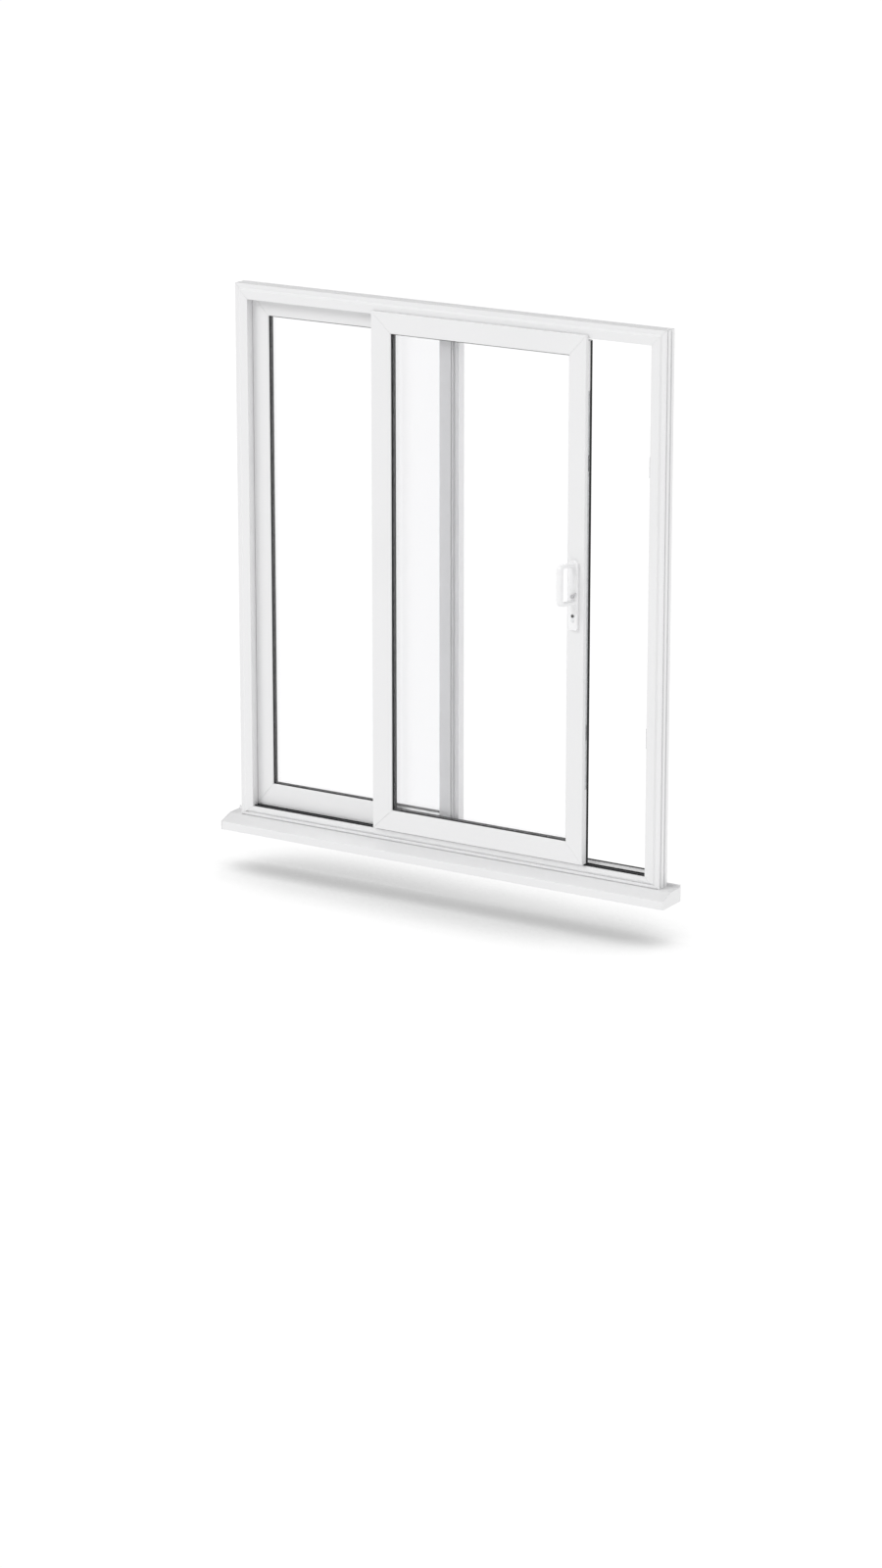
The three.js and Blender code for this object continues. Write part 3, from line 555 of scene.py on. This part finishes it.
def make_grip(side, direction):
    """Moulded D grip: a rounded section swept along the path, leaning towards the glass."""
    node = f"{side}_grip"
    low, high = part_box(node)
    plate_low, plate_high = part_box(f"{side}_backplate")
    plate_face = plate_low.y if direction < 0 else plate_high.y
    centre_x = (plate_low.x + plate_high.x) / 2
    reach = high.y - low.y
    rings = []
    for out, z, heading in grip_path(reach, low.z, high.z):
        turn = math.radians(heading)
        upright = abs(math.sin(turn))
        half = (GRIP_FOOT + (GRIP_BAR - GRIP_FOOT) * upright) / 2
        ring = []
        for across, thick in superellipse(GRIP_WIDTH / 2, half, GRIP_SQUARENESS, 28):
            r = out - thick * math.sin(turn)
            ring.append((
                centre_x + across - GRIP_OFFSET * r / reach,
                plate_face + direction * r,
                z + thick * math.cos(turn),
            ))
        rings.append(ring)
    mesh = make_mesh(f"{node}_bar", *join_rings(rings), sharp_angle=60)
    add_piece(f"{node}_bar", mesh, "handle", "sliding_sash", [node])


def inset_outline(points, inset):
    """Moves each point of a closed outline inwards along the mean of its edges' normals."""
    moved = []
    count = len(points)
    for i, point in enumerate(points):
        before = Vector(point) - Vector(points[i - 1])
        after = Vector(points[(i + 1) % count]) - Vector(point)
        normal = (before.normalized() + after.normalized()).normalized()
        inward = Vector((-normal.y, normal.x))
        moved.append(tuple(Vector(point) + inward * inset))
    return moved


def rounded_slab(points, base, face, radius):
    """A slab with rounded face edges, in the plane of the door: points run anticlockwise."""
    out = 1 if face > base else -1
    rings = [[(x, base, z) for x, z in points]]
    steps = 5
    for i in range(steps + 1):
        angle = math.radians(90 * i / steps)
        inset = radius * (1 - math.cos(angle))
        y = face - out * radius * (1 - math.sin(angle))
        rings.append([(x, y, z) for x, z in inset_outline(points, inset)])
    return join_rings(rings)


def make_backplate(side, direction):
    """Long plate with rounded corners and a rounded face edge."""
    node = f"{side}_backplate"
    low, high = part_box(node)
    base, face = (high.y, low.y) if direction < 0 else (low.y, high.y)
    radius = PLATE_RADIUS
    outline = (
        arc((high.x - radius, high.z - radius), radius, 0, 90, 10)
        + arc((low.x + radius, high.z - radius), radius, 90, 180, 10)
        + arc((low.x + radius, low.z + radius), radius, 180, 270, 10)
        + arc((high.x - radius, low.z + radius), radius, 270, 360, 10)
    )
    mesh = make_mesh(f"{node}_shell", *rounded_slab(outline, base, face, PLATE_EDGE))
    add_piece(f"{node}_shell", mesh, "handle", "sliding_sash", [node])


def make_thumb_lever(side, direction):
    """Small grey lever: a round hub with a slightly tapering arm."""
    node = f"{side}_thumb_lever"
    low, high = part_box(node)
    spindle_low, spindle_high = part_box("lock_spindle")
    centre = ((spindle_low.x + spindle_high.x) / 2, (spindle_low.z + spindle_high.z) / 2)
    base, face = (high.y, low.y) if direction < 0 else (low.y, high.y)
    meet = math.degrees(math.asin(LEVER_ROOT / LEVER_HUB))
    flat = arc((0, 0), LEVER_HUB, 90 + meet, 450 - meet, 28)
    flat += arc((0, LEVER_LENGTH - LEVER_TIP), LEVER_TIP, 0, 180, 10)
    turn = Matrix.Rotation(-math.radians(LEVER_ANGLE), 2)
    outline = [tuple(turn @ Vector(point) + Vector(centre)) for point in flat]
    mesh = make_mesh(f"{node}_arm", *rounded_slab(outline, base, face, LEVER_EDGE))
    add_piece(f"{node}_arm", mesh, "lever_steel", "lock_levers", [node])


# ---------- screws ----------
SCREW_RADIUS = 3.0 * MM
SCREW_HEIGHT = 0.7 * MM
SCREW_SINK = 0.05 * MM           # how far each head is let into its plate
SCREW_TURN = 37                  # degrees from each recess to the next, so that none line up
PLATE_MARGIN = 14 * MM           # from each end of the faceplate
HOOK_MARGINS = (17 * MM, 24 * MM)    # below and above each hook
KEEP_MARGINS = (8 * MM, 9 * MM)  # from the lower and the upper end of a keep


def screw_head(radius, height):
    """A low domed head with a cross recess, its axis along +Z and its seat at zero."""
    count = 28
    profile = [
        (radius, 0), (radius, height * 0.3), (radius * 0.93, height * 0.62),
        (radius * 0.75, height * 0.88), (radius * 0.62, height),
    ]
    rings = [
        [(r * math.cos(2 * math.pi * i / count), r * math.sin(2 * math.pi * i / count), z)
         for i in range(count)]
        for r, z in profile
    ]
    head = bpy.data.objects.new("head", make_mesh("head", *join_rings(rings)))
    arm, half = radius * 0.55, radius * 0.13
    cross = [
        (half, -arm), (half, -half), (arm, -half), (arm, half), (half, half), (half, arm),
        (-half, arm), (-half, half), (-arm, half), (-arm, -half), (-half, -half), (-half, -arm),
    ]
    # The recess tapers, from above the head down to a quarter of its height.
    slots = [
        [(x * share, y * share, z) for x, y in cross]
        for share, z in ((0.7, height * 0.25), (1.1, height * 1.2))
    ]
    tool = bpy.data.objects.new("tool", make_mesh("tool", *join_rings(slots)))
    for item in (head, tool):
        bpy.context.scene.collection.objects.link(item)
    recess = head.modifiers.new("recess", "BOOLEAN")
    recess.object = tool
    recess.solver = "EXACT"
    bpy.context.view_layer.update()
    evaluated = head.evaluated_get(bpy.context.evaluated_depsgraph_get())
    mesh = bpy.data.meshes.new_from_object(evaluated)
    for item in (head, tool):
        bpy.data.objects.remove(item)
    return mesh


def make_screws(name, head, places, axis, finish_name, body):
    """Copies of a head at each place, facing along axis, joined into one piece."""
    shape = bmesh.new()
    turn = Vector(axis).to_track_quat("Z", "Y").to_matrix().to_4x4()
    for i, place in enumerate(places):
        spin = Matrix.Rotation(math.radians(SCREW_TURN * i), 4, "Z")
        copy = head.copy()
        copy.transform(Matrix.Translation(place) @ turn @ spin)
        shape.from_mesh(copy)
        bpy.data.meshes.remove(copy)
    mesh = bpy.data.meshes.new(name)
    shape.to_mesh(mesh)
    shape.free()
    mesh.shade_smooth()
    mesh.set_sharp_from_angle(angle=math.radians(SHARP_ANGLE))
    add_piece(name, mesh, finish_name, body)


def make_lock_screws():
    """Screws up the faceplate, two by each hook and one at the cylinder, and two in each keep."""
    head = screw_head(SCREW_RADIUS, SCREW_HEIGHT)
    low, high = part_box("lock_faceplate")
    middle_y = (low.y + high.y) / 2
    heights = [low.z + PLATE_MARGIN, high.z - PLATE_MARGIN]
    for node in ("lower_hook_bolt", "upper_hook_bolt"):
        hook_low, hook_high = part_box(node)
        heights += [hook_low.z - HOOK_MARGINS[0], hook_high.z + HOOK_MARGINS[1]]
    plug_low, plug_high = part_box("cylinder_plug")
    heights.append((plug_low.z + plug_high.z) / 2)
    places = [(high.x - SCREW_SINK, middle_y, z) for z in sorted(heights)]
    make_screws("faceplate_screws", head, places, (1, 0, 0), "plated_steel", "sliding_sash")
    for place in ("lower", "upper"):
        low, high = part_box(f"{place}_keep")
        ends = (low.z + KEEP_MARGINS[0], high.z - KEEP_MARGINS[1])
        points = [(low.x + SCREW_SINK, middle_y, z) for z in ends]
        make_screws(f"{place}_keep_screws", head, points, (-1, 0, 0), "plated_steel",
                    "outer_frame")
    bpy.data.meshes.remove(head)


# ---------- stage ----------
def light_table():
    """Glowing white floor with a painted contact shadow: ambient occlusion dims the glow under the
    door.
    """
    material, tree, shader = make_material("floor_glow_painted_shadow", (0, 0, 0), 1.0)
    shader.inputs["Specular IOR Level"].default_value = 0.0
    painted_shadow_ao = tree.nodes.new("ShaderNodeAmbientOcclusion")
    painted_shadow_ao.samples = SHADOW_SAMPLES
    painted_shadow_ao.inputs["Distance"].default_value = SHADOW_REACH
    curve = tree.nodes.new("ShaderNodeMapRange")
    curve.interpolation_type = "SMOOTHSTEP"
    curve.inputs["From Min"].default_value = SHADOW_OPENNESS[0]
    curve.inputs["From Max"].default_value = SHADOW_OPENNESS[1]
    curve.inputs["To Min"].default_value = SHADOW_DARKEST * FLOOR_GLOW
    curve.inputs["To Max"].default_value = FLOOR_GLOW
    shader.inputs["Emission Color"].default_value = (1, 1, 1, 1)
    # Painted shadow: the floor's glow is dimmed where ambient occlusion finds the door near; no
    # lamp is blocked.
    tree.links.new(painted_shadow_ao.outputs["AO"], curve.inputs["Value"])
    tree.links.new(curve.outputs["Result"], shader.inputs["Emission Strength"])
    return material


def make_floor():
    mesh = bpy.data.meshes.new("studio_floor")
    corners = [
        (x * FLOOR_HALF, y * FLOOR_HALF, -FLOOR_DROP)
        for x, y in ((-1, -1), (1, -1), (1, 1), (-1, 1))
    ]
    mesh.from_pydata(corners, [], [(0, 1, 2, 3)])
    floor = bpy.data.objects.new("studio_floor", mesh)
    bpy.context.scene.collection.objects.link(floor)
    mesh.materials.append(light_table())


def towards(azimuth, elevation):
    """Unit vector out from the door: azimuth 0 is straight in front of the cill side."""
    return Vector((
        math.sin(azimuth) * math.cos(elevation),
        -math.cos(azimuth) * math.cos(elevation),
        math.sin(elevation),
    ))


def make_lights():
    """Two soft suns and a world that dims with height, and that shows as white behind the door."""
    scene = bpy.context.scene
    world = bpy.data.worlds.new("studio_world")
    scene.world = world
    world.use_nodes = True
    tree = world.node_tree
    direction = tree.nodes.new("ShaderNodeTexCoord")
    split = tree.nodes.new("ShaderNodeSeparateXYZ")
    fade = tree.nodes.new("ShaderNodeMapRange")
    fade.interpolation_type = "SMOOTHSTEP"
    fade.inputs["From Max"].default_value = HORIZON_TOP
    fade.inputs["To Min"].default_value = HORIZON_LIGHT
    fade.inputs["To Max"].default_value = ZENITH_LIGHT
    path = tree.nodes.new("ShaderNodeLightPath")
    seen = tree.nodes.new("ShaderNodeMath")
    seen.operation = "MAXIMUM"
    level = tree.nodes.new("ShaderNodeMix")
    level.data_type = "FLOAT"
    level.inputs["B"].default_value = FLOOR_GLOW
    sky = tree.nodes["Background"]
    sky.inputs["Color"].default_value = (1, 1, 1, 1)
    tree.links.new(direction.outputs["Generated"], split.inputs["Vector"])
    tree.links.new(split.outputs["Z"], fade.inputs["Value"])
    tree.links.new(path.outputs["Is Camera Ray"], seen.inputs[0])
    tree.links.new(path.outputs["Is Transmission Ray"], seen.inputs[1])
    tree.links.new(seen.outputs["Value"], level.inputs["Factor"])
    tree.links.new(fade.outputs["Result"], level.inputs["A"])
    tree.links.new(level.outputs["Result"], sky.inputs["Strength"])
    for name, (azimuth, elevation, strength, softness) in SUNS.items():
        lamp = bpy.data.lights.new(name, "SUN")
        lamp.energy = strength
        lamp.angle = math.radians(softness)
        sun = bpy.data.objects.new(name, lamp)
        out = towards(math.radians(azimuth), math.radians(elevation))
        sun.rotation_mode = "QUATERNION"
        sun.rotation_quaternion = out.to_track_quat("Z", "Y")
        scene.collection.objects.link(sun)
    scene.view_settings.view_transform = "Standard"


def make_camera():
    data = bpy.data.cameras.new("camera")
    data.lens = CAMERA_LENS
    data.sensor_width = SENSOR_WIDTH
    camera = bpy.data.objects.new("camera", data)
    back = towards(CAMERA_AZIMUTH, CAMERA_ELEVATION)
    camera.location = CAMERA_TARGET + back * CAMERA_DISTANCE
    camera.rotation_mode = "QUATERNION"
    camera.rotation_quaternion = back.to_track_quat("Z", "Y")
    data.clip_end = 4 * FLOOR_HALF
    bpy.context.scene.collection.objects.link(camera)
    bpy.context.scene.camera = camera


make_glazing_trim("fixed", "outer_frame")
make_glazing_trim("sash", "sliding_sash")
make_brush()
make_closing_seal()
for side, direction in (("front", -1), ("rear", 1)):
    make_backplate(side, direction)
    make_grip(side, direction)
    make_thumb_lever(side, direction)
make_lock_screws()
make_floor()
make_lights()
make_camera()
